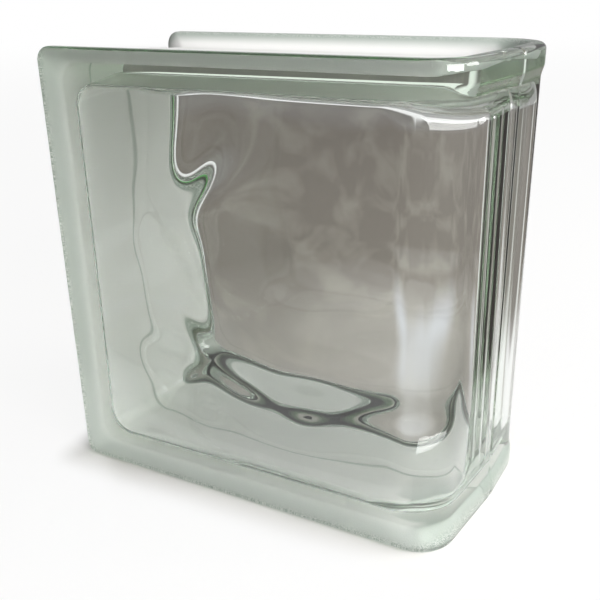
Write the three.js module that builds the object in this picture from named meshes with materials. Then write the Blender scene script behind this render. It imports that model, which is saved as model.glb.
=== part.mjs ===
// A hollow glass building block, finishing unit: two pressed glass dishes fused face to face.
// Three sides carry a channel for mortar between a front and a rear flange. The fourth side, at
// +X, is the finished end, whose rounded corners carry the flange round as a raised rim.
// Units are millimetres, +Z is up, and the front face looks along -Y.
import * as THREE from 'three';
import { mergeVertices } from 'three/addons/utils/BufferGeometryUtils.js';

// ---- driving dimensions ---------------------------------------------------------------------
const HEIGHT = 197;
const WIDTH = 193;
const DEPTH = 98.4;
const EDGE = 2.5; // rounding between a face and its flange
const FLANGE_CORNER = 6; // corner of a flange, seen from the front
const FLANGE_LAND = 5; // distance from the face to the inner lip of the flange
const FLANGE_SLOPE = 10; // run of the S-shaped slope from that lip to the channel floor
const CHANNEL_DEEP = 6.8; // channel depth at the foot of the flange
const CHANNEL_SEAM = 4.5; // channel depth at the seam, where the floor is highest
const CHANNEL_CORNER = 9; // corner of the channel floor, seen from the front
const WALL = 7.5; // glass thickness of the faces and of the finished end
const RIB_WALL = 8; // glass thickness of the channelled sides, at the seam
const DRAFT = 3; // how much further in those sides reach at the face than at the seam
const FILLET = 6; // inner fillet between the channelled sides and a face
const CAVITY_CORNER = 10; // corner of the hollow, seen from the front
const FLARE = 1.2; // how far the finished end stands proud along its top and bottom rims
const FLARE_FROM = 8; // full flare down to this distance from the top or bottom
const FLARE_TO = 14; // no flare beyond this distance
const SEAM_X = WIDTH / 2 - 3.4; // the finished end at the seam
const SEAM_GROOVE = 0.5; // depth of the groove round the outside where the dishes are fused
const SEAM_BEAD = 0.6; // how far the fused glass swells into the hollow
const SEAM_REACH = 1.6; // how far groove and bead reach from the seam

const HALF_DEPTH = DEPTH / 2;
const FACE_Y = HALF_DEPTH - WALL; // the inner face, before its waves
const LEFT = -WIDTH / 2;

// Each dish has its own corner at the finished end, outside and in the hollow: a plan radius and
// where the arc begins. Its plunger leaves long, low swells on the inner face. A swell is
// [x, z, length, width, turn in degrees, rise], and a negative rise is a hump of thicker glass.
const FRONT = {
  name: 'front_half',
  side: -1,
  radius: 16.7,
  arcX: 69.8,
  hollowRadius: 24,
  hollowArcX: 61,
  swells: [
    [-35, 174, 50, 11.5, 85, 1.7],
    [-3, 138, 88, 40, 132, -2.1],
    [-37, 134, 50, 11.5, 49, -2],
    [-35, 131, 34, 11, 27, 3.2],
    [-34, 96, 39, 11.5, 113, -2.5],
    [-25, 94, 75, 12.5, 74, 1.3],
    [45, 69, 38, 11.5, 8, 2.2],
    [63, 68, 74, 29.5, 0, -2.7],
    [70, 65, 40, 28, 3, -2],
    [-44, 63, 19, 11.5, 168, -1.5],
    [-3, 56, 15, 11.5, 169, -2.3],
    [-52, 55, 22, 11.5, 111, -1.2],
    [-30, 53, 21, 11.5, 119, -2.3],
    [22, 52, 17, 11.5, 11, -3.2],
    [-6, 48, 76, 11.5, 173, 2],
    [72, 47, 40, 11.5, 177, 2.1],
    [74, 34, 18, 11.5, 94, 2],
    [-52, 32, 21, 11.5, 153, 0.5],
    [47, 24, 90, 11.5, 178, 3.2],
    [7, 24, 40, 11.5, 2, 1.7],
  ],
};
const REAR = {
  name: 'rear_half',
  side: 1,
  radius: 21.9,
  arcX: 73.4,
  hollowRadius: 16,
  hollowArcX: 71,
  swells: [
    [-50, 160, 26, 16, 20, 1],
    [-30, 60, 30, 16, 120, -1.2],
    [30, 60, 36, 18, 150, 0.9],
    [40, 140, 30, 20, 60, -0.8],
  ],
};

// ---- profiles -------------------------------------------------------------------------------
const smooth = (t) => {
  const s = Math.min(1, Math.max(0, t));
  return s * s * (3 - 2 * s);
};

// Plan outline at the finished end: an arc tangent to a face at `faceY`, then a straight run to
// `seamX` on the seam.
function planOutline(radius, cx, faceY, seamX) {
  const cy = faceY - radius;
  const dx = seamX - cx;
  const reach = Math.hypot(dx, cy);
  const angle = Math.acos(radius / reach) - Math.atan2(cy, dx);
  const normal = { x: Math.cos(angle), y: Math.sin(angle) };
  const line = normal.x * cx + normal.y * cy + radius;
  const tangentY = cy + radius * normal.y;
  const endX = (y) => {
    if (y > tangentY) return cx + Math.sqrt(Math.max(0, radius ** 2 - (y - cy) ** 2));
    return (line - normal.y * y) / normal.x;
  };
  const distance = (x, y) => {
    const ux = x - cx;
    const uy = y - cy;
    const pastFace = ux * normal.y - uy * normal.x < 0;
    if (ux > 0 && pastFace) return radius - Math.hypot(ux, uy);
    return Math.min(faceY - y, line - normal.x * x - normal.y * y);
  };
  const outward = (y) => (y > tangentY ? (endX(y) - cx) / radius : normal.x);
  return { endX, distance, outward };
}

const outerPlan = (dish) => planOutline(dish.radius, dish.arcX, HALF_DEPTH, SEAM_X);
const hollowPlan = (dish) =>
  planOutline(dish.hollowRadius, dish.hollowArcX, FACE_Y, SEAM_X - WALL);

// Drop of the flanged sides below the top of the flange, `t` millimetres in from the outline and
// `y` from the seam: rounded edge, land, S-shaped slope, then a floor that rises to the seam.
function drop(t, y) {
  if (t < EDGE) return EDGE - Math.sqrt(EDGE ** 2 - (EDGE - Math.max(0, t)) ** 2);
  const footY = HALF_DEPTH - FLANGE_LAND - FLANGE_SLOPE;
  const floor = CHANNEL_SEAM + (CHANNEL_DEEP - CHANNEL_SEAM) * (y / footY);
  return floor * smooth((t - FLANGE_LAND) / FLANGE_SLOPE);
}

const flare = (z) => {
  const fromEdge = Math.min(z, HEIGHT - z);
  return FLARE * (1 - smooth((fromEdge - FLARE_FROM) / (FLARE_TO - FLARE_FROM)));
};

// Share of the groove's and bead's size at distance y from the seam.
const seamShare = (y) => smooth(1 - y / SEAM_REACH);

// Wave of an inner face: the sum of its swells over x and z.
function wave(dish, x, z) {
  let height = 0;
  for (const [cx, cz, length, width, turn, rise] of dish.swells) {
    const a = THREE.MathUtils.degToRad(turn);
    const u = (x - cx) * Math.cos(a) + (z - cz) * Math.sin(a);
    const v = (z - cz) * Math.cos(a) - (x - cx) * Math.sin(a);
    height += rise * Math.exp(-((u / length) ** 2) - (v / width) ** 2);
  }
  return height;
}

// The inner skin carries the whole wave on the face. It fades out over the fillet, and round the
// wider corner of the finished end.
function carry(x, y, fillet) {
  const overFillet = Math.sin(fillet) ** 2;
  const roundCorner = smooth((y - 18) / (FACE_Y - 18));
  return THREE.MathUtils.lerp(overFillet, roundCorner, smooth((x - 45) / 25));
}

// ---- loops: closed rounded rectangles in planes of constant y ---------------------------------
const arcPoints = (cx, cz, r, from, to, n) =>
  Array.from({ length: n + 1 }, (_, i) => {
    const a = from + ((to - from) * i) / n;
    return [cx + r * Math.cos(a), cz + r * Math.sin(a)];
  });

const edgeSteps = [0, 0.3, 0.6, 0.85, 1].map((s) => EDGE * (1 - Math.cos((s * Math.PI) / 2)));
const slopeSteps = [0, 0.2, 0.4, 0.6, 0.8, 1].map((s) => FLANGE_LAND + FLANGE_SLOPE * s);

// Outer loop: bottom side with its rim, finished end, top side with its rim, plain left side.
function outerLoop(dish, y) {
  const plan = outerPlan(dish);
  const endX = plan.endX(y);
  const dent = SEAM_GROOVE * seamShare(y);
  const t = HALF_DEPTH - y;
  const side = drop(t, y);
  const foot = smooth((t - FLANGE_LAND) / FLANGE_SLOPE);
  const round = t < EDGE ? side : 0;
  const r = FLANGE_CORNER - round + (CHANNEL_CORNER - FLANGE_CORNER) * foot;
  const floor = side + dent;
  const left = LEFT + floor;
  const rim = [...edgeSteps, ...slopeSteps, 18].reverse();
  const bottom = [-30, 20].map((x) => [x, floor]);
  for (const o of rim) {
    const x = endX - o;
    const sway = FLARE * plan.outward(y) * (1 - smooth(o / 18)) - dent * (1 - smooth(o / 6));
    bottom.push([x + sway, drop(plan.distance(x, y), y) + dent]);
  }
  const end = [FLARE_FROM, 10, 12, FLARE_TO, 60].map((z) => [
    endX + plan.outward(y) * flare(z) - dent,
    z,
  ]);
  const corner = arcPoints(left + r, floor + r, r, Math.PI, 1.5 * Math.PI, 4);
  const lower = [...corner, ...bottom, ...end];
  const upper = lower.map(([x, z]) => [x, HEIGHT - z]).reverse();
  return [...lower, ...upper].map(([x, z]) => new THREE.Vector3(x, dish.side * y, z));
}

// Inner loop at distance y from the seam and `fillet` radians round the fillet, with STEPS
// segments on each of its four sides.
const STEPS = 28;
function innerLoop(dish, y, fillet) {
  const bead = SEAM_BEAD * seamShare(y);
  const round = FILLET * (1 - Math.cos(fillet));
  const inset = CHANNEL_SEAM + RIB_WALL + DRAFT * (y / HALF_DEPTH) + round + bead;
  const r = CAVITY_CORNER;
  const left = LEFT + inset;
  const right = hollowPlan(dish).endX(y) - bead;
  const turn = Math.PI / 4;
  const side = (from, to, n) =>
    Array.from({ length: n - 1 }, (_, i) => [
      from[0] + ((to[0] - from[0]) * (i + 1)) / n,
      from[1] + ((to[1] - from[1]) * (i + 1)) / n,
    ]);
  const arc = (cx, cz, from) => arcPoints(cx, cz, r, from, from + turn, 3);
  const low = inset + r;
  const high = HEIGHT - low;
  const run = STEPS - 6;
  const corners = [
    [left + r, low, 5 * turn],
    [right - r, low, 6 * turn],
    [right - r, low, 7 * turn],
    [right - r, high, 0],
    [right - r, high, turn],
    [left + r, high, 2 * turn],
    [left + r, high, 3 * turn],
    [left + r, low, 4 * turn],
  ].map(([cx, cz, from]) => arc(cx, cz, from));
  const points = [];
  for (let i = 0; i < 8; i += 2) {
    const a = corners[i];
    const b = corners[i + 1];
    points.push(...a, ...side(a[3], b[0], run), ...b.slice(0, 3));
  }
  return points.map(([x, z]) => {
    const out = y + carry(x, y, fillet) * wave(dish, x, z);
    return new THREE.Vector3(x, dish.side * out, z);
  });
}

// ---- a dish ---------------------------------------------------------------------------------
function skin(triangles, from, to) {
  for (let i = 0; i < from.length; i += 1) {
    const j = (i + 1) % from.length;
    triangles.push(from[i], from[j], to[j], from[i], to[j], to[i]);
  }
}

function fillFlat(triangles, outline, holes = []) {
  const flat = (loop) => loop.map((p) => new THREE.Vector2(p.x, p.z));
  const points = [outline, ...holes].flat();
  for (const face of THREE.ShapeUtils.triangulateShape(flat(outline), holes.map(flat))) {
    triangles.push(...face.map((i) => points[i]));
  }
}

// The wavy inner face: a grid between the four sides of the innermost loop.
function fillWavy(triangles, dish, loop) {
  const n = STEPS;
  const at = (i) => loop[i % loop.length];
  const low = (i) => at(i);
  const right = (j) => at(n + j);
  const high = (i) => at(3 * n - i);
  const left = (j) => at(4 * n - j);
  const point = (i, j) => {
    if (i === 0) return left(j);
    if (i === n) return right(j);
    if (j === 0) return low(i);
    if (j === n) return high(i);
    const s = i / n;
    const t = j / n;
    const blend = (axis) =>
      (1 - t) * low(i)[axis] + t * high(i)[axis] + (1 - s) * left(j)[axis] + s * right(j)[axis]
      - (1 - s) * ((1 - t) * low(0)[axis] + t * high(0)[axis])
      - s * ((1 - t) * low(n)[axis] + t * high(n)[axis]);
    const x = blend('x');
    const z = blend('z');
    return new THREE.Vector3(x, dish.side * (FACE_Y + wave(dish, x, z)), z);
  };
  const grid = Array.from({ length: n + 1 }, (_, i) =>
    Array.from({ length: n + 1 }, (__, j) => point(i, j)),
  );
  for (let i = 0; i < n; i += 1) {
    for (let j = 0; j < n; j += 1) {
      const [a, b, c, d] = [grid[i][j], grid[i + 1][j], grid[i + 1][j + 1], grid[i][j + 1]];
      triangles.push(a, b, c, a, c, d);
    }
  }
}

function signedVolume(triangles) {
  const cross = new THREE.Vector3();
  let volume = 0;
  for (let i = 0; i < triangles.length; i += 3) {
    cross.crossVectors(triangles[i + 1], triangles[i + 2]);
    volume += triangles[i].dot(cross) / 6;
  }
  return volume;
}

function dishGeometry(dish) {
  const outerY = [...edgeSteps, ...slopeSteps].map((t) => HALF_DEPTH - t);
  outerY.push(HALF_DEPTH - dish.radius, 20, 10, SEAM_REACH, SEAM_REACH / 2, 0);
  const outer = outerY.map((y) => outerLoop(dish, y));
  const turns = [0, 0.2, 0.4, 0.6, 0.8, 1].map((s) => (s * Math.PI) / 2);
  const inner = [0, SEAM_REACH / 2, SEAM_REACH, 12, 20, 27, 32].map((y) => innerLoop(dish, y, 0));
  for (const a of turns) inner.push(innerLoop(dish, FACE_Y - FILLET * (1 - Math.sin(a)), a));

  // Face and outer skin wind one way, the seam land and the hollow close it the same way.
  const body = [];
  for (let i = 1; i < outer.length; i += 1) skin(body, outer[i - 1], outer[i]);
  for (let i = 1; i < inner.length; i += 1) skin(body, inner[i - 1], inner[i]);
  const face = [];
  fillFlat(face, outer[0]);
  const land = [];
  fillFlat(land, outer.at(-1), [inner[0]]);
  const hollow = [];
  fillWavy(hollow, dish, inner.at(-1));
  const reversed = (list) => {
    const out = [];
    for (let i = 0; i < list.length; i += 3) out.push(list[i], list[i + 2], list[i + 1]);
    return out;
  };
  let triangles = [...body, ...reversed(face), ...land, ...hollow];
  if (signedVolume(triangles) < 0) triangles = reversed(triangles);

  const geometry = new THREE.BufferGeometry().setFromPoints(triangles);
  const welded = mergeVertices(geometry, 1e-4);
  welded.computeVertexNormals();
  return welded;
}

const glass = (name) =>
  new THREE.MeshStandardMaterial({ name, color: 0xb4c2b8, roughness: 0.08, metalness: 0 });

const block = new THREE.Group();
block.name = 'glass_block';
for (const dish of [FRONT, REAR]) {
  const mesh = new THREE.Mesh(dishGeometry(dish), glass(dish.name));
  mesh.name = dish.name;
  block.add(mesh);
}

export default block;
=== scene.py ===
# %% [markdown]
# # A hollow glass block with one finished end
# The block is two pressed glass dishes, fused face to face round a hollow of still air. Three of
# its sides carry a channel for mortar, coated white so that mortar grips it, and the fourth side
# is a clear rounded end that finishes a wall. This lesson loads the plain solid model as a fixed
# frame and builds the visible body over it: the outer skin, the wavy hollow, the fused seam, the
# white coat, and a plain studio to see them in.

# %% Load the frame
import bpy
import bmesh
import math
from mathutils import Matrix, Vector


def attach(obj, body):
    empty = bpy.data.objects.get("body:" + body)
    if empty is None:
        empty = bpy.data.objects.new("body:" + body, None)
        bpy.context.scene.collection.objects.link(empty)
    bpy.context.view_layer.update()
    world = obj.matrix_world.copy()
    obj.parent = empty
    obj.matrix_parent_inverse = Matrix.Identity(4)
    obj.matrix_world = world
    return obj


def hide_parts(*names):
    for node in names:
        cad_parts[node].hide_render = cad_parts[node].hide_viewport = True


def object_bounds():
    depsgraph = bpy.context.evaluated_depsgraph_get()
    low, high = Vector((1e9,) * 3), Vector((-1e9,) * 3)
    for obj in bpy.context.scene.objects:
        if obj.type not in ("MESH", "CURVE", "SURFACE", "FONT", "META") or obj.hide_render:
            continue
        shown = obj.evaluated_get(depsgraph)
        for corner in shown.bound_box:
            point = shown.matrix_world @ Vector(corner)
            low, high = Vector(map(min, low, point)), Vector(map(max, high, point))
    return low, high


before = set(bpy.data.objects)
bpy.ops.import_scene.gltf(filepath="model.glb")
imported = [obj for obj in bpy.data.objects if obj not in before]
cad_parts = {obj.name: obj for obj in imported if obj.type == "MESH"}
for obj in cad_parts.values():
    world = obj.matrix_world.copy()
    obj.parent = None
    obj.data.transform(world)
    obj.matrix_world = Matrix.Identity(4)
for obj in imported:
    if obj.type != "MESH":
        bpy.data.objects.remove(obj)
cad_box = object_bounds()
print("frame box", cad_box)

# %% [markdown]
# ## Camera
# The block is seen from a little above its top edge and from the right, close enough for strong
# perspective, as something on a bench is seen. A camera could be aimed with a constraint, but
# three plain turns keep each angle readable: about Z for the side it looks from, about X for how
# far it is tipped, and a last small roll. Two small lens shifts slide the block to its place in
# the picture without another turn, so the perspective stays as it is.

# %% Camera
CAMERA_AT = (0.1495, -0.2889, 0.2219)
CAMERA_TURN, CAMERA_TIP, CAMERA_ROLL = 26.31, 90 - 20.15, -0.81
LENS, SENSOR = 45.47, 36.0
SHIFT_ACROSS, SHIFT_UP = -0.0211, -0.0734
NEAREST_SEEN = 0.01


def place_camera():
    data = bpy.data.cameras.new("view")
    data.sensor_width = SENSOR
    data.lens = LENS
    data.shift_x = SHIFT_ACROSS
    data.shift_y = SHIFT_UP
    data.clip_start = NEAREST_SEEN
    cam = bpy.data.objects.new("view", data)
    turn = Matrix.Rotation(math.radians(CAMERA_TURN), 4, "Z")
    tip = Matrix.Rotation(math.radians(CAMERA_TIP), 4, "X")
    roll = Matrix.Rotation(math.radians(CAMERA_ROLL), 4, "Z")
    cam.matrix_world = Matrix.Translation(CAMERA_AT) @ turn @ tip @ roll
    bpy.context.collection.objects.link(cam)
    bpy.context.scene.camera = cam
    print("camera at", CAMERA_AT, "lens", LENS)


place_camera()

# %% [markdown]
# ## Driving sizes
# The overall width, depth and height are read from the frame, so the skin always fits the solid
# model. The rest are the sizes a mould maker would draw, in millimetres: the flange that stands
# proud of the channel, the depth of the channel, and the thickness of the glass.

# %% Driving sizes
MM = 0.001
LEFT, FRONT, _ = (round(v / MM, 2) for v in cad_box[0])
RIGHT, BACK, HEIGHT = (round(v / MM, 2) for v in cad_box[1])
HALF = BACK
EDGE = 2.5  # radius of the flange's rim
LAND, SLOPE = 5.0, 10.0  # where the flange's flat top ends, and how wide the slope below it is
RIB = LAND + SLOPE
CHANNEL_DEEP, CHANNEL_SEAM = 6.8, 4.5  # depth of the channel beside the slope, and at the seam
FLANGE_CORNER, CHANNEL_CORNER = 6.0, 9.0
WALL, RIB_WALL, DRAFT = 7.5, 8.0, 3.0  # glass behind the faces, glass under the channel, draft
SEAM_IN = 3.4  # how far the seam lies in from the widest point of the finished end
SEAM_X = RIGHT - SEAM_IN
print("block", RIGHT - LEFT, "x", BACK - FRONT, "x", HEIGHT, "mm")


def smooth(t):
    """0 to 1 with a soft start and a soft stop."""
    s = min(1.0, max(0.0, t))
    return s * s * (3 - 2 * s)


# %% [markdown]
# ## Plan of the rounded end
# Seen from above, each half of the finished end is one large arc that leaves the flat face and
# runs into an almost straight side, which meets the other half at the seam. The arc could be a
# bevel on a box, but the two halves have different radii and the glass is thicker inside the
# corner, so one small class holds an arc with its tangent line, and serves four outlines.

# %% Plan of the rounded end
class Plan:
    """Half of the end from above: an arc, then its tangent line down to the seam."""

    def __init__(self, radius, cx, seam_x, face):
        self.radius, self.cx, self.face = radius, cx, face
        self.cy = face - radius
        dx = seam_x - cx
        reach = math.hypot(dx, self.cy)
        angle = math.acos(radius / reach) - math.atan2(self.cy, dx)
        self.nx, self.ny = math.cos(angle), math.sin(angle)
        self.line = self.nx * cx + self.ny * self.cy + radius
        self.tangent = self.cy + radius * self.ny

    def end_x(self, y):
        if y > self.tangent:
            return self.cx + math.sqrt(max(0.0, self.radius ** 2 - (y - self.cy) ** 2))
        return (self.line - self.ny * y) / self.nx

    def distance(self, x, y):
        """How far a point lies inside the outline."""
        ux, uy = x - self.cx, y - self.cy
        if ux > 0 and ux * self.ny - uy * self.nx < 0:
            return self.radius - math.hypot(ux, uy)
        return min(self.face - y, self.line - self.nx * x - self.ny * y)

    def outward(self, y):
        """How much the outline faces along X at this depth."""
        return (self.end_x(y) - self.cx) / self.radius if y > self.tangent else self.nx


FRONT_HALF, REAR_HALF = -1, 1
# radius of each arc, and how far right its centre lies
OUTER_ARCS = {FRONT_HALF: (16.7, 69.8), REAR_HALF: (21.9, 73.4)}
HOLLOW_ARCS = {FRONT_HALF: (24.0, 61.0), REAR_HALF: (16.0, 71.0)}
OUTER = {half: Plan(*OUTER_ARCS[half], SEAM_X, HALF) for half in OUTER_ARCS}
HOLLOW = {half: Plan(*HOLLOW_ARCS[half], SEAM_X - WALL, HALF - WALL) for half in HOLLOW_ARCS}
print("end reaches", [round(plan.end_x(0), 2) for plan in OUTER.values()], "at the seam")

# %% [markdown]
# ## Channel, flared lip and seam
# Mortar sits in a shallow channel between two proud flanges, so the section across the top, left
# and bottom starts at a rounded edge, runs flat, and slopes down to the channel's floor. On the
# rounded end the glass flares out a little at top and bottom. Where the dishes were fused there
# is a fine groove outside and a bead inside. Each of these is one formula of the distance t from
# a face, which keeps the section true round the corners, where a profile swept along would fold.

# %% Channel, flared lip and seam
FLARE, FLARE_FROM, FLARE_TO = 1.2, 8.0, 14.0
GROOVE, BEAD, SEAM_WIDTH = 0.5, 0.6, 1.6


def drop(t, y):
    """How far the side lies below the flange's top, a distance t in from the face."""
    if t < EDGE:
        return EDGE - math.sqrt(EDGE ** 2 - (EDGE - max(0.0, t)) ** 2)
    floor_depth = CHANNEL_SEAM + (CHANNEL_DEEP - CHANNEL_SEAM) * y / (HALF - RIB)
    return floor_depth * smooth((t - LAND) / SLOPE)


def flare(z):
    return FLARE * (1 - smooth((min(z, HEIGHT - z) - FLARE_FROM) / (FLARE_TO - FLARE_FROM)))


def seam_dent(y):
    return smooth(1 - abs(y) / SEAM_WIDTH)


by_flange = round(drop(RIB, HALF - RIB), 2)
print("channel depth at the seam", drop(HALF, 0), "mm, by the flange", by_flange)

# %% [markdown]
# ## Where the rows of the mesh lie
# A curved edge needs close rows and a flat stretch needs few, so the rows are listed as stretches
# with a number of steps each. An even subdivision would be simpler, but it would either round the
# edges coarsely or spend most of its faces where nothing bends.

# %% Where the rows of the mesh lie
def spread(start, *stretches):
    """Positions from a start through (end, steps) stretches, each cut into equal steps."""
    at, out = start, [start]
    for end, steps in stretches:
        out += [at + (end - at) * (i + 1) / steps for i in range(steps)]
        at = end
    return out


ROUND_STEPS = 6
ROUND = [EDGE * (1 - math.cos(math.pi / 2 * i / ROUND_STEPS)) for i in range(ROUND_STEPS + 1)]
INWARD = ROUND + spread(EDGE, (LAND, 2), (RIB, 12))[1:]
HALF_ROWS = [HALF - t for t in INWARD] + spread(HALF - RIB, (SEAM_WIDTH, 8), (0, 5))[1:]
ROWS = [-y for y in HALF_ROWS] + HALF_ROWS[-2::-1]
RIM_REACH = 18.0  # how far in from the finished end the top and bottom follow its rim
RIM = [RIM_REACH] + INWARD[::-1]
LOWER_ROWS = spread(EDGE, (FLARE_FROM, 2), (FLARE_TO, 6), (HEIGHT / 2, 8))
CORNER, ALONG = 5, 14  # cells round a left corner, and along the straight run
NX = CORNER + ALONG + len(RIM) - 1
NY = len(ROWS) - 1
NZ = 2 * (len(LOWER_ROWS) - 1)
print("outer skin", NX, "x", NY, "x", NZ, "cells")

# %% [markdown]
# ## A box that knows its own grid
# Both skins start as Blender's cube, cut evenly by subdivide_edges. Every corner of a cell then
# has a whole-number address (i, j, k), worked out from where it lies in the cube, and moving each
# vertex to the place its address stands for turns the cube into the block. The mesh stays one
# closed body the whole time, which a skin stitched from separate strips would not.

# %% A box that knows its own grid
SAME_PLACE = 1e-6


def grid_box(nx, ny, nz):
    bm = bmesh.new()
    bmesh.ops.create_cube(bm, size=2)
    for axis, cells in ((0, nx), (1, ny), (2, nz)):
        along = [e for e in bm.edges
                 if abs(e.verts[0].co[axis] - e.verts[1].co[axis]) > SAME_PLACE]
        bmesh.ops.subdivide_edges(bm, edges=along, cuts=cells - 1, use_grid_fill=True)
    return bm


def address(v, nx, ny, nz):
    return (round((v.co.x + 1) / 2 * nx), round((v.co.y + 1) / 2 * ny),
            round((v.co.z + 1) / 2 * nz))


# %% [markdown]
# ## Rings and end sheets
# At each depth the skin is a ring of four sides: low, high, left and right. The two closing faces
# are sheets stretched between the four sides of the last ring, with every point a blend of the
# sides and corners around it, as a soap film fills a frame. One function reads both, so the outer
# skin and the hollow are shaped by the same few lines.

# %% Rings and end sheets
def arc(cx, cz, r, start, end, steps):
    turns = [math.radians(start + (end - start) * i / steps) for i in range(steps + 1)]
    return [(cx + r * math.cos(a), cz + r * math.sin(a)) for a in turns]


def line(a, b, steps):
    return [(a[0] + (b[0] - a[0]) * i / steps, a[1] + (b[1] - a[1]) * i / steps)
            for i in range(steps + 1)]


def flipped(points):
    """The same side seen in a mirror at half the block's height."""
    return [(x, HEIGHT - z) for x, z in points]


def sheet_point(ring, i, k, nx, nz):
    low, high, left, right = ring
    s, t = i / nx, k / nz
    return [(1 - t) * low[i][a] + t * high[i][a] + (1 - s) * left[k][a] + s * right[k][a]
            - (1 - s) * ((1 - t) * low[0][a] + t * high[0][a])
            - s * ((1 - t) * low[nx][a] + t * high[nx][a]) for a in (0, 1)]


def shape_box(bm, rows, rings, nx, nz, settle):
    """Move each vertex of a grid box to its place; settle gives the final point."""
    last = len(rows) - 1
    for v in bm.verts:
        i, j, k = address(v, nx, last, nz)
        low, high, left, right = rings[j]
        if j in (0, last):
            x, z = sheet_point(rings[j], i, k, nx, nz)
        elif k in (0, nz):
            x, z = (high if k else low)[i]
        else:
            x, z = (right if i else left)[k]
        v.co = Vector(settle(x, rows[j], z)) * MM


# %% [markdown]
# ## The outer skin
# One ring of the outside: rounded flange corners on the left, a straight run along the channel,
# and on the right a rim whose height follows the distance to the rounded outline, so that the
# flange's edge turns the corner with the end. The flare and the seam's groove are added last.

# %% The outer skin
DENT_REACH = 6  # the end's groove pulls the top and bottom in over this width


def outer_ring(station):
    plan, y = OUTER[REAR_HALF if station > 0 else FRONT_HALF], abs(station)
    end_x, t = plan.end_x(y), HALF - y
    dent = GROOVE * seam_dent(y)
    depth = drop(t, y)
    r = FLANGE_CORNER - (depth if t < EDGE else 0)
    r += (CHANNEL_CORNER - FLANGE_CORNER) * smooth((t - LAND) / SLOPE)
    x0, z0 = LEFT + depth + dent, depth + dent
    low = arc(x0 + r, z0 + r, r, 225, 270, CORNER)
    low += line((x0 + r, z0), (end_x - RIM_REACH, z0), ALONG)[1:-1]
    for inside in RIM:
        x = end_x - inside
        sway = FLARE * plan.outward(y) * (1 - smooth(inside / RIM_REACH))
        sway -= dent * (1 - smooth(inside / DENT_REACH))
        low.append((x + sway, drop(plan.distance(x, y), y) + dent))
    right = [(end_x + plan.outward(y) * flare(z) - dent, z) for z in LOWER_ROWS]
    right[0] = low[-1]
    left = arc(x0 + r, z0 + r, r, 225, 180, CORNER)
    left += line((x0, z0 + r), (x0, HEIGHT / 2), NZ // 2 - CORNER)[1:]
    return (low, flipped(low), left + flipped(left[-2::-1]), right + flipped(right[-2::-1]))


def outer_skin():
    bm = grid_box(NX, NY, NZ)
    rings = [outer_ring(y) for y in ROWS]
    shape_box(bm, ROWS, rings, NX, NZ, lambda x, y, z: (x, y, z))
    print("outer skin", len(bm.faces), "faces")
    return bm


# %% [markdown]
# ## The wave pattern
# The inner faces are pressed with soft swells, and it is these that bend the view through the
# block. Each swell is a smooth oval hill or dip with its own length, width, turn and height. A
# noise texture would be quicker, but a press plunger carries chosen swells, and where they lie
# decides the shape of every reflection. The front plunger is deep and the rear one is calm.

# %% The wave pattern
FRONT_SWELLS = [
    # x, z, length, width, turn in degrees, rise
    (-35, 174, 50, 11.5, 85, 1.7),
    (-3, 138, 88, 40, 132, -2.1),
    (-37, 134, 50, 11.5, 49, -2),
    (-35, 131, 34, 11, 27, 3.2),
    (-34, 96, 39, 11.5, 113, -2.5),
    (-25, 94, 75, 12.5, 74, 1.3),
    (45, 69, 38, 11.5, 8, 2.2),
    (63, 68, 74, 29.5, 0, -2.7),
    (70, 65, 40, 28, 3, -2),
    (-44, 63, 19, 11.5, 168, -1.5),
    (-3, 56, 15, 11.5, 169, -2.3),
    (-52, 55, 22, 11.5, 111, -1.2),
    (-30, 53, 21, 11.5, 119, -2.3),
    (22, 52, 17, 11.5, 11, -3.2),
    (-6, 48, 76, 11.5, 173, 2),
    (72, 47, 40, 11.5, 177, 2.1),
    (74, 34, 18, 11.5, 94, 2),
    (-52, 32, 21, 11.5, 153, 0.5),
    (47, 24, 90, 11.5, 178, 3.2),
    (7, 24, 40, 11.5, 2, 1.7),
]
REAR_SWELLS = [
    # x, z, length, width, turn in degrees, rise
    (-50, 160, 26, 16, 20, 1.0),
    (-30, 60, 30, 16, 120, -1.2),
    (30, 60, 36, 18, 150, 0.9),
    (40, 140, 30, 20, 60, -0.8),
]


SWELL_ENDS = 9  # beyond three lengths or widths a swell is flat


def swell(x, z, cx, cz, length, width, turn, rise):
    a = math.radians(turn)
    u = (x - cx) * math.cos(a) + (z - cz) * math.sin(a)
    v = (z - cz) * math.cos(a) - (x - cx) * math.sin(a)
    spot = (u / length) ** 2 + (v / width) ** 2
    return rise * math.exp(-spot) if spot < SWELL_ENDS else 0.0


def wave(side, x, z):
    """How far the inner face stands out into the glass at a point."""
    swells = FRONT_SWELLS if side == FRONT_HALF else REAR_SWELLS
    return sum(swell(x, z, *row) for row in swells)


print("swells", len(FRONT_SWELLS), "front,", len(REAR_SWELLS), "rear")

# %% [markdown]
# ## The hollow
# The hollow has flat inner faces, fillets round them, walls with a little draft so that the
# plunger could leave the glass, and a bead at the seam. The front fillet is tight, which draws
# the thin dark line round the face. The wave fades out over the fillet and round the end's
# corner, because a plunger's pattern stops where its sides begin.

# %% The hollow
FLAT = HALF - WALL
FILLETS, FILLET_STEPS = {FRONT_HALF: 2.6, REAR_HALF: 3.5}, 12
HOLLOW_CORNER, HOLLOW_CORNER_STEPS = 10.0, 6
HOLLOW_STEPS = 150
WAVE_STOP = 18  # round the end's inner corner the wave ends this far from the seam
BEND_FROM, BEND_WIDTH = 45, 25  # where along X the flat face's wave hands over to the corner's


def half_rows(side):
    turns = [math.pi / 2 * (1 - i / FILLET_STEPS) for i in range(FILLET_STEPS + 1)]
    rows = [FLAT - FILLETS[side] * (1 - math.sin(a)) for a in turns]
    return rows + spread(rows[-1], (WAVE_STOP, 9), (SEAM_WIDTH, 4), (0, 5))[1:]


HOLLOW_ROWS = [-y for y in half_rows(FRONT_HALF)] + half_rows(REAR_HALF)[-2::-1]


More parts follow.
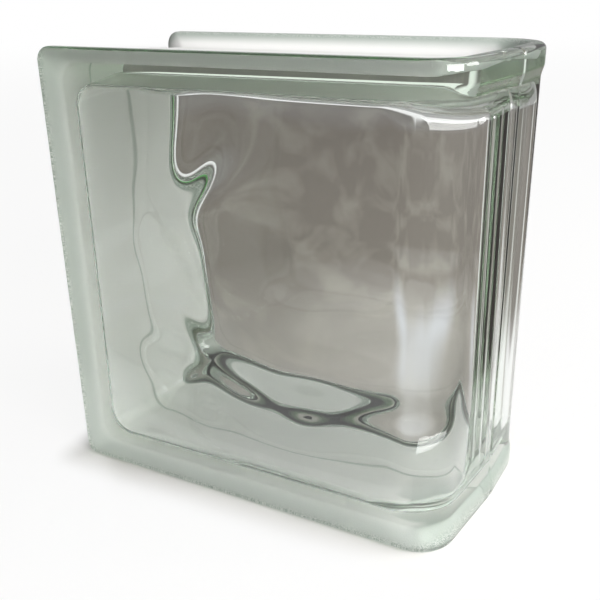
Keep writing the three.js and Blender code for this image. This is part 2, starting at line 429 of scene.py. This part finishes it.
def hollow_ring(station):
    side, y = (REAR_HALF if station > 0 else FRONT_HALF), abs(station)
    fillet, bead = FILLETS[side], BEAD * seam_dent(y)
    up = max(0.0, (y - (FLAT - fillet)) / fillet)
    inset = fillet * (1 - math.sqrt(max(0.0, 1 - up * up)))
    inset += CHANNEL_SEAM + RIB_WALL + DRAFT * y / HALF + bead
    r, steps = HOLLOW_CORNER, HOLLOW_CORNER_STEPS
    run = HOLLOW_STEPS - 2 * steps
    x0, x1 = LEFT + inset, HOLLOW[side].end_x(y) - bead
    z0, z1 = inset, HEIGHT - inset
    low = (arc(x0 + r, z0 + r, r, 225, 270, steps)
           + line((x0 + r, z0), (x1 - r, z0), run)[1:-1]
           + arc(x1 - r, z0 + r, r, 270, 315, steps))
    left = (arc(x0 + r, z0 + r, r, 225, 180, steps)
            + line((x0, z0 + r), (x0, z1 - r), run)[1:-1]
            + arc(x0 + r, z1 - r, r, 180, 135, steps))
    right = (arc(x1 - r, z0 + r, r, 315, 360, steps)
             + line((x1, z0 + r), (x1, z1 - r), run)[1:-1]
             + arc(x1 - r, z1 - r, r, 0, 45, steps))
    return low, flipped(low), left, right


def carry(side, x, y):
    """Share of the wave on the inner skin: it fades over the fillet and round the corner."""
    fillet = FILLETS[side]
    over_fillet = max(0.0, (y - (FLAT - fillet)) / fillet) ** 2
    round_corner = smooth((y - WAVE_STOP) / (FLAT - WAVE_STOP))
    s = smooth((x - BEND_FROM) / BEND_WIDTH)
    return over_fillet * (1 - s) + round_corner * s


def waved(x, station, z):
    side, y = (FRONT_HALF if station < 0 else REAR_HALF), abs(station)
    return x, side * (y + carry(side, x, y) * wave(side, x, z)), z


def hollow_skin():
    bm = grid_box(HOLLOW_STEPS, len(HOLLOW_ROWS) - 1, HOLLOW_STEPS)
    rings = [hollow_ring(y) for y in HOLLOW_ROWS]
    shape_box(bm, HOLLOW_ROWS, rings, HOLLOW_STEPS, HOLLOW_STEPS, waved)
    bmesh.ops.reverse_faces(bm, faces=bm.faces)
    print("hollow", len(bm.faces), "faces")
    return bm


# %% [markdown]
# ## Where the white coat lies
# The coat covers the channel on the top, the left side and the bottom, and thins out to bare
# grains as it climbs to the flange's rim. The finished end's own side has none, and where the top
# and bottom meet that end, the coat keeps a little further from the rim. Towards all the rims its
# colour turns grey, partly as a thin coat over dark glass and partly as painted shade: strongest
# on the rear half and beside the finished end, it dims borders that the low lamps on the right
# light too brightly. Along the seam it is grey as a dark joint. Two numbers per vertex say this,
# one for how thick the coat is and one for how grey and shaded, so the material can read them
# anywhere. Painting by hand would work as well, but a formula follows the flange.

# %% Where the white coat lies
# how grey the rim is, in part painted shade, how far in that holds, and over how many more
# millimetres it fades
RIM_GREY_AND_SHADE = {FRONT_HALF: (0.54, 9.0, 8.0), REAR_HALF: (0.86, 7.0, 5.0)}
# painted shade beside the finished end: how much greyer, how much further in; the greyest a rim
# gets
END_SHADE_MORE, END_SHADE_WIDER, GREYEST = 0.22, 6.0, 0.9
SEAM_GREY, SEAM_GREY_WIDTH = 0.6, 1.1
CLEAR_RIM, CLEAR_END, COAT_EDGE = 1.0, 1.5, 7.0
COAT_SIDE = 12  # what lies this near the block's top, bottom or left counts as that side
TINY = 0.001


def rim_distance(x, y, plan):
    return min(HALF - y, plan.distance(x, y))


def toward_end(x, y, plan):
    """0 beside the flat face, 1 beside the finished end."""
    ux, uy = max(0.0, x - plan.cx), max(0.0, y - plan.cy)
    return ux / max(TINY, math.hypot(ux, uy))


def coat_on(co):
    """How thick the coat is at a vertex, and how grey, with painted shade at the rims."""
    x, y, z = co / MM
    side = REAR_HALF if y > 0 else FRONT_HALF
    plan, y = OUTER[side], abs(y)
    rim = rim_distance(x, y, plan)
    end = toward_end(x, y, plan)
    # the rim's grey: a thin coat over dark glass, with painted shade on top, more beside the end
    strength, start, fade = RIM_GREY_AND_SHADE[side]
    strength = min(GREYEST, strength + END_SHADE_MORE * end)
    rim_grey_and_shade = strength * (1 - smooth((rim - start - END_SHADE_WIDER * end) / fade))
    grey_and_shade = max(rim_grey_and_shade, SEAM_GREY * (1 - (y / SEAM_GREY_WIDTH) ** 2))
    on_side = min(z, HEIGHT - z) < COAT_SIDE or x < LEFT + COAT_SIDE
    clear = CLEAR_RIM + CLEAR_END * end
    return (smooth((rim - clear) / COAT_EDGE) if on_side else 0.0), grey_and_shade


# %% [markdown]
# ## One glass body
# Rays of light need to meet glass and air in the right order, so the hollow's faces point into
# the hollow and both skins belong to one mesh. Two objects, one inside the other, would look the
# same from outside, but the renderer would take the hollow for more glass.

# %% One glass body
FLAT_FACE = 0.98  # a face that looks this squarely to the front or back stays clear glass


def glass_body():
    skin, hollow = outer_skin(), hollow_skin()
    thickness = skin.verts.layers.float.new("thickness")
    grey_and_shade = skin.verts.layers.float.new("grey_and_shade")
    for v in skin.verts:
        v[thickness], v[grey_and_shade] = coat_on(v.co)
    skin.normal_update()
    for face in skin.faces:
        coated = max(v[thickness] for v in face.verts) > 0
        face.material_index = 1 if coated and abs(face.normal.y) < FLAT_FACE else 0
    inside = bpy.data.meshes.new("inside")
    hollow.to_mesh(inside)
    skin.from_mesh(inside)
    bpy.data.meshes.remove(inside)
    for face in skin.faces:
        face.smooth = True
    mesh = bpy.data.meshes.new("glass_body")
    skin.to_mesh(mesh)
    made = bpy.data.objects.new("glass_body", mesh)
    bpy.context.collection.objects.link(made)
    print("glass body", len(mesh.polygons), "faces")
    return made


body = glass_body()

# %% [markdown]
# ## Short words for shader nodes
# A material is a small chain of nodes, and most lines of its code only add a node or draw a link.
# This class gives those lines short names, so that each material below reads as a recipe.

# %% Short words for shader nodes
class Recipe:
    """A node tree with short calls to add nodes and join them."""

    def __init__(self, owner):
        owner.use_nodes = True
        self.nodes, self.links = owner.node_tree.nodes, owner.node_tree.links

    def feed(self, socket, value):
        if isinstance(value, bpy.types.NodeSocket):
            self.links.new(value, socket)
        else:
            socket.default_value = value

    def add(self, kind, **inputs):
        node = self.nodes.new(kind)
        for name, value in inputs.items():
            self.feed(node.inputs[name.replace("_", " ")], value)
        return node

    def maths(self, operation, first, second=0.0, third=0.0):
        node = self.nodes.new("ShaderNodeMath")
        node.operation = operation
        for socket, value in zip(node.inputs, (first, second, third)):
            self.feed(socket, value)
        return node.outputs[0]

    def vector(self, operation, first, second=(0.0, 0.0, 0.0)):
        node = self.nodes.new("ShaderNodeVectorMath")
        node.operation = operation
        self.feed(node.inputs[0], first)
        self.feed(node.inputs[1], second)
        return node.outputs["Value" if operation == "LENGTH" else "Vector"]

    def ramp(self, value, low, high, top=1.0, shape="LINEAR"):
        node = self.add("ShaderNodeMapRange", Value=value, From_Min=low, From_Max=high, To_Max=top)
        node.interpolation_type = shape
        return node.outputs["Result"]

    def fade(self, value, low, high):
        return self.ramp(value, low, high, shape="SMOOTHSTEP")

    def blend(self, first, second, share):
        node = self.nodes.new("ShaderNodeMix")
        node.data_type = "RGBA"
        self.feed(node.inputs[6], first)
        self.feed(node.inputs[7], second)
        self.feed(node.inputs[0], share)
        return node.outputs[2]

    def mix(self, first, second, share):
        node = self.nodes.new("ShaderNodeMixShader")
        for socket, value in zip(node.inputs, (share, first, second)):
            self.feed(socket, value)
        return node.outputs["Shader"]

    def seen(self):
        """1 for rays that show the thing itself, straight, mirrored or through glass."""
        path = self.nodes.new("ShaderNodeLightPath")
        straight = self.maths("MAXIMUM", path.outputs["Is Camera Ray"],
                              path.outputs["Is Glossy Ray"])
        return self.maths("MAXIMUM", straight, path.outputs["Is Transmission Ray"])


# %% [markdown]
# ## Pale green glass
# Soda glass is clear with a green cast that shows only where light travels far in it, at edges
# and along walls. A tinted surface would colour every layer alike, so the surface stays white and
# the volume soaks up a little red and blue on the way through.

# %% Pale green glass
SOAK_COLOUR, SOAK_PER_METRE = (0.42, 0.76, 0.40, 1), 3.5
GLASS_INDEX = 1.52


def clear_glass(recipe):
    glass = recipe.nodes["Principled BSDF"]
    glass.inputs["Base Color"].default_value = (1, 1, 1, 1)
    glass.inputs["Roughness"].default_value = 0.0
    glass.inputs["IOR"].default_value = GLASS_INDEX
    glass.inputs["Transmission Weight"].default_value = 1.0
    soak = recipe.add("ShaderNodeVolumeAbsorption", Color=SOAK_COLOUR, Density=SOAK_PER_METRE)
    recipe.feed(recipe.nodes["Material Output"].inputs["Volume"], soak.outputs["Volume"])
    return glass


def pale_green_glass():
    mat = bpy.data.materials.new("pale_green_glass")
    clear_glass(Recipe(mat))
    return mat


# %% [markdown]
# ## White mortar coat
# The coat is a gritty white paint that mortar grips. Fine noise does three jobs here: it breaks
# the thin edge of the coat into grains with clear glass between them, it flecks the grey where
# the coat is thin, and it roughens the surface as a bump. One noise for all three keeps grain,
# fleck and roughness in the same places, as on a real speckled coat.

# %% White mortar coat
COAT_WHITE, COAT_GREY = (0.95, 0.946, 0.925, 1), (0.36, 0.42, 0.37, 1)
GRAINS_PER_METRE, GRAIN_DETAIL = 1900, 3.0
GRIT, GRIT_HEIGHT = 0.35, 0.0004  # strength, and height in metres
FLECK_NOISE, FLECKS, THIN_ONLY = (0.38, 0.62), 0.8, 6.0  # noise range, strength, power
LAID_NOISE = (0.58, 0.86)  # noise plus thickness, from bare glass to full coat
MATT = 0.9


def white_mortar_coat():
    mat = bpy.data.materials.new("white_mortar_coat")
    recipe = Recipe(mat)
    bare = clear_glass(recipe)
    place = recipe.add("ShaderNodeTexCoord")
    grain = recipe.add("ShaderNodeTexNoise", Vector=place.outputs["Object"],
                       Scale=GRAINS_PER_METRE, Detail=GRAIN_DETAIL).outputs["Fac"]
    bump = recipe.add("ShaderNodeBump", Height=grain, Strength=GRIT, Distance=GRIT_HEIGHT)
    thickness = recipe.add("ShaderNodeAttribute")
    thickness.attribute_name = "thickness"
    grey_and_shade = recipe.add("ShaderNodeAttribute")
    grey_and_shade.attribute_name = "grey_and_shade"
    fleck = recipe.maths("SUBTRACT", recipe.ramp(grain, *FLECK_NOISE, top=2 * FLECKS), FLECKS)
    full = recipe.maths("POWER", thickness.outputs["Fac"], THIN_ONLY)
    thin = recipe.maths("SUBTRACT", 1.0, full)
    flecked = recipe.maths("MULTIPLY_ADD", fleck, thin, 1.0)
    # tone: grey of the thin coat, the seam and the painted shade at the rims, flecked where thin
    tone = recipe.maths("MULTIPLY", grey_and_shade.outputs["Fac"], flecked)
    paint = recipe.add("ShaderNodeBsdfPrincipled", Roughness=MATT, Normal=bump.outputs["Normal"],
                       Base_Color=recipe.blend(COAT_WHITE, COAT_GREY, tone))
    laid = recipe.maths("ADD", grain, thickness.outputs["Fac"])
    surface = recipe.mix(bare.outputs["BSDF"], paint.outputs["BSDF"],
                         recipe.ramp(laid, *LAID_NOISE))
    recipe.feed(recipe.nodes["Material Output"].inputs["Surface"], surface)
    return mat


# %% [markdown]
# ## Dress the body
# The two materials go on in the order that the faces were numbered: clear glass first, the coat
# second. The body rides on the block's one rigid body and stands for both solid halves, which
# stay in the model to collide and weigh.

# %% Dress the body
body.data.materials.append(pale_green_glass())
body.data.materials.append(white_mortar_coat())
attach(body, "root")
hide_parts("front_half", "rear_half")
print("body wears", [mat.name for mat in body.data.materials])

# %% [markdown]
# ## The floor
# Clear glass shows what lies behind it, and on an all-white floor it would all but vanish. So
# painted shade goes into the pale floor's colour: a dim patch from the block's foot backwards, no
# wider than the block, standing for the shadow and darker room seen through the glass, and a dim
# tone painted far to the left and right, which the rounded end gathers in as dark stripes. The
# patch's edges are straight lines that widen with distance, kept as slopes: so many metres to the
# side for each metre forwards from the spot under the camera. Close to that spot, and behind it,
# all of the floor is painted dim.

# %% The floor
# OUTSIDE is painted shade: the dim tone painted on the floor far to the left and right
PALE, OUTSIDE = (0.80, 0.785, 0.76, 1), (0.16, 0.145, 0.13, 1)
SHADE_FROM, SHADE_TURN = (CAMERA_AT[0], CAMERA_AT[1], 0.0), math.radians(26.2)
SHADE_NEAR, SHADE_FAR = (0.28, 0.37), (2.1, 2.9)  # metres forwards: where each edge fades
SHADE_RIGHT, SHADE_LEFT = (0.25, 0.295), (0.30, 0.345)  # slopes: where each edge fades
OUTSIDE_RIGHT, OUTSIDE_LEFT, OUTSIDE_SHIFT = (0.362, 0.46), (0.392, 0.66), 0.031
NEAREST, NEAR_DIM = 0.02, (0.02, 0.16)  # metres forwards
# painted shade: the patch's colour by distance forwards
SHADE_TONES = [
    # metres forwards, colour
    (0.34, (0.36, 0.335, 0.305)),
    (0.445, (0.40, 0.375, 0.34)),
    (0.53, (0.285, 0.262, 0.232)),
    (0.60, (0.205, 0.183, 0.158)),
    (1.10, (0.225, 0.198, 0.171)),
    (1.31, (0.34, 0.318, 0.302)),
    (1.50, (0.355, 0.333, 0.314)),
]


def shade_tones(recipe, forwards):
    """Painted shade of the patch: lighter by the block, darkest in the middle, lighter far away.
    """
    start, end = SHADE_TONES[0][0], SHADE_TONES[-1][0]
    tones = recipe.add("ShaderNodeValToRGB", Fac=recipe.ramp(forwards, start, end))
    stops = tones.color_ramp.elements
    for distance, colour in SHADE_TONES[1:-1]:
        stops.new((distance - start) / (end - start))
    for stop, (distance, colour) in zip(stops, SHADE_TONES):
        stop.color = (*colour, 1)
    return tones.outputs["Color"]


# %% [markdown]
# ## Painted highlight on the shade patch
# A soft bright streak, such as a window's light would throw, and a cloudy sheen are painted into
# the shade patch behind the block as painted highlights. The streak is an oval fade. The clouds
# are noise laid out by slope, sideways and downwards, as seen from the camera's height, so they
# grow with distance and stay alike in size in the glass. Both are far weaker than they would be
# as separate lamps, and both are free of sampling noise.

# %% Painted highlight on the shade patch
# painted streak: colour, then middle and half size in metres sideways and forwards
STREAK, STREAK_AT, STREAK_SIZE = (0.61, 0.62, 0.65, 1), (0.076, 0.45, 0.0), (0.030, 0.125, 1.0)
# painted sheen: colour and share of the clouds, and how many per unit of slope
CLOUD, CLOUD_SHARE, CLOUDS_PER_SLOPE = (0.60, 0.58, 0.50, 1), 0.26, 19.0
CLOUD_NOISE, CLOUD_DETAIL, CLOUD_CURL = (0.46, 0.66), 5.0, 0.5


def patch_with_painted_light(recipe, sideways, forwards, plane):
    # painted highlight: a bright streak and a cloudy sheen laid into the patch's painted shade
    ahead = recipe.maths("MAXIMUM", forwards, NEAREST)
    slopes = recipe.add("ShaderNodeCombineXYZ", X=recipe.maths("DIVIDE", sideways, ahead),
                        Y=recipe.maths("DIVIDE", CAMERA_AT[2], ahead))
    clouds = recipe.add("ShaderNodeTexNoise", Vector=slopes.outputs["Vector"],
                        Scale=CLOUDS_PER_SLOPE, Detail=CLOUD_DETAIL, Distortion=CLOUD_CURL)
    cloudy = recipe.blend(shade_tones(recipe, forwards), CLOUD,
                          recipe.ramp(clouds.outputs["Fac"], *CLOUD_NOISE, top=CLOUD_SHARE))
    oval = recipe.add("ShaderNodeMapping", Vector=plane, Location=STREAK_AT, Scale=STREAK_SIZE)
    oval.vector_type = "TEXTURE"
    off = recipe.vector("LENGTH", oval.outputs["Vector"])
    return recipe.blend(STREAK, cloudy, recipe.fade(off, 0.0, 1.0))


# %% [markdown]
# ## The floor's material
# First the floor's own coordinates are turned to run forwards and sideways from the spot under
# the camera. Slopes then say where the painted shade patch and the painted dim floor outside lie.
# The pale floor is lifted to white for rays that see it, and the lift fades out under the block's
# foot, so the contact shadow stays. Far away the dim floor is lifted too, to the grey in which the
# room is seen, so that no hard horizon shows from any side.

# %% The floor's material
ROOM_LIGHT, ROOM_SEEN = 0.27, 0.45
WHITE, ROOM_GREY = (1, 1, 1, 1), (ROOM_SEEN, ROOM_SEEN, ROOM_SEEN, 1)
LIFT, LIFT_FADE = 0.90, (0.35, 3.0)  # metres from the block: where the lift grows to full
DIM_FADE = (0.9, 3.5)  # metres from the block: where the dim floor turns to the room's grey
FOOT_SHADOW = (-0.004, 0.018)  # metres from the block's foot: where the lift begins


def zones(recipe, sideways, forwards):
    """How much of each place is painted shade patch, and how much painted dim floor outside."""
    ahead = recipe.maths("MAXIMUM", forwards, NEAREST)
    slope = recipe.maths("DIVIDE", sideways, ahead)
    off_shade = recipe.maths("MAXIMUM", recipe.fade(slope, *SHADE_RIGHT),
                           recipe.fade(recipe.maths("MULTIPLY", slope, -1.0), *SHADE_LEFT))
    length = recipe.maths("MULTIPLY", recipe.fade(forwards, *SHADE_NEAR),
                          recipe.maths("SUBTRACT", 1.0, recipe.fade(forwards, *SHADE_FAR)))
    # mat: the painted shade patch behind the block
    mat = recipe.maths("MULTIPLY", length, recipe.maths("SUBTRACT", 1.0, off_shade))
    right = recipe.maths("DIVIDE", recipe.maths("SUBTRACT", sideways, OUTSIDE_SHIFT), ahead)
    left = recipe.maths("DIVIDE", recipe.maths("ADD", sideways, OUTSIDE_SHIFT), ahead)
    outside = recipe.maths("MAXIMUM", recipe.fade(right, *OUTSIDE_RIGHT),
                           recipe.fade(recipe.maths("MULTIPLY", left, -1.0), *OUTSIDE_LEFT))
    behind = recipe.maths("SUBTRACT", 1.0, recipe.fade(forwards, *NEAR_DIM))
    outside = recipe.maths("MAXIMUM", outside, behind)
    return mat, outside


def lifted(recipe, place, mat, outside):
    """How strongly the floor shows as the lit backdrop at a place."""
    reach = recipe.vector("LENGTH", place)
    far = recipe.maths("SUBTRACT", 1.0, recipe.fade(reach, *DIM_FADE))
    # shaded: where the painted shade patch or the painted dim floor keeps its colour
    shaded = recipe.maths("MAXIMUM", mat, recipe.maths("MULTIPLY", outside, far))
    away = recipe.fade(reach, *LIFT_FADE)
    lift = recipe.maths("ADD", LIFT, recipe.maths("MULTIPLY", away, 1.0 - LIFT))
    foot = recipe.vector("SUBTRACT", recipe.vector("ABSOLUTE", place),
                         (RIGHT * MM, HALF * MM, 0.0))
    gap = recipe.vector("LENGTH", recipe.vector("MAXIMUM", foot))
    lift = recipe.maths("MULTIPLY", lift, recipe.fade(gap, *FOOT_SHADOW))
    lift = recipe.maths("MULTIPLY", lift, recipe.maths("SUBTRACT", 1.0, shaded))
    return recipe.maths("MULTIPLY", lift, recipe.seen())


def floor_finish():
    finish = bpy.data.materials.new("pale_floor")
    recipe = Recipe(finish)
    place = recipe.add("ShaderNodeTexCoord").outputs["Object"]
    turned = recipe.add("ShaderNodeMapping", Vector=place, Location=SHADE_FROM,
                        Rotation=(0.0, 0.0, SHADE_TURN))
    turned.vector_type = "TEXTURE"
    plane = turned.outputs["Vector"]
    axes = recipe.add("ShaderNodeSeparateXYZ", Vector=plane)
    sideways, forwards = axes.outputs["X"], axes.outputs["Y"]
    mat, outside = zones(recipe, sideways, forwards)
    # colour: pale floor, painted dim outside, then the painted shade patch with its painted
    # highlight
    colour = recipe.blend(recipe.blend(PALE, OUTSIDE, outside),
                          patch_with_painted_light(recipe, sideways, forwards, plane), mat)
    matt = recipe.nodes["Principled BSDF"]
    matt.inputs["Roughness"].default_value = MATT
    recipe.feed(matt.inputs["Base Color"], colour)
    backdrop = recipe.add("ShaderNodeEmission", Color=recipe.blend(WHITE, ROOM_GREY, outside))
    lift = lifted(recipe, place, mat, outside)
    recipe.feed(recipe.nodes["Material Output"].inputs["Surface"],
                recipe.mix(matt.outputs["BSDF"], backdrop.outputs["Emission"], lift))
    print("floor finish", len(recipe.nodes), "nodes")
    return finish


# %% [markdown]
# ## Lay the floor
# The floor is one flat grid cell, large enough that its far edge lies above the picture.

# %% Lay the floor
FLOOR_HALF = 12.0


def lay_floor():
    bm = bmesh.new()
    bmesh.ops.create_grid(bm, x_segments=1, y_segments=1, size=FLOOR_HALF)
    mesh = bpy.data.meshes.new("floor")
    bm.to_mesh(mesh)
    mesh.materials.append(floor_finish())
    plane = bpy.data.objects.new("floor", mesh)
    bpy.context.collection.objects.link(plane)
    print("floor", 2 * FLOOR_HALF, "m wide")


lay_floor()

# %% [markdown]
# ## Lamps
# Two large soft boxes stand low on the right. Low light enters through the front and the clear
# end and reaches the coated walls inside, while the white channel on top, which a high lamp would
# burn out, gets only a slanting share. The camera doesn't see the boxes themselves, so none of
# them stands in a picture from another side, while the glass still mirrors them.

# %% Lamps
AIM = (0, 0, 0.08)
SOFTBOXES = [
    # name, place and size in metres, watts
    ("key", (1.3, -0.72, 0.52), (1.0, 0.9), 39),
    ("side", (1.4, 0.4, 0.6), (1.0, 0.8), 29),
]


def softbox(name, place, size, power):
    data = bpy.data.lights.new(name, "AREA")
    data.shape = "RECTANGLE"
    data.size, data.size_y = size
    data.energy = power
    lamp = bpy.data.objects.new(name, data)
    lamp.location = place
    lamp.rotation_euler = (Vector(AIM) - Vector(place)).to_track_quat("-Z", "Y").to_euler()
    lamp.visible_camera = False
    bpy.context.collection.objects.link(lamp)
    print("softbox", name, power, "W")


for row in SOFTBOXES:
    softbox(*row)

# %% [markdown]
# ## The room
# A plain white world fills the shadows softly. Rays that see the room, in a reflection or through
# the glass, find it brighter than the light it gives, so the glass keeps clean pale glints while
# the coat isn't washed out.

# %% The room
def white_room():
    world = bpy.data.worlds.new("room")
    bpy.context.scene.world = world
    recipe = Recipe(world)
    sky = recipe.nodes["Background"]
    sky.inputs["Color"].default_value = (1, 1, 1, 1)
    strength = recipe.add("ShaderNodeMapRange", Value=recipe.seen(), To_Min=ROOM_LIGHT,
                          To_Max=ROOM_SEEN)
    recipe.feed(sky.inputs["Strength"], strength.outputs["Result"])
    print("room light", ROOM_LIGHT, "seen as", ROOM_SEEN)


white_room()

# %% [markdown]
# ## Enough bounces for glass
# A ray crosses four glass surfaces on its way through the block, and many more when it is trapped
# in a wall. With the usual dozen bounces those places go black, so the limits are raised.

# %% Enough bounces for glass
GLASS_BOUNCES, CLEAR_BOUNCES, MIRROR_BOUNCES = 24, 16, 12
scene = bpy.context.scene
scene.view_settings.view_transform = "Standard"
scene.cycles.max_bounces = GLASS_BOUNCES
scene.cycles.transmission_bounces = GLASS_BOUNCES
scene.cycles.transparent_max_bounces = CLEAR_BOUNCES
scene.cycles.glossy_bounces = MIRROR_BOUNCES
print("bounces", scene.cycles.max_bounces)
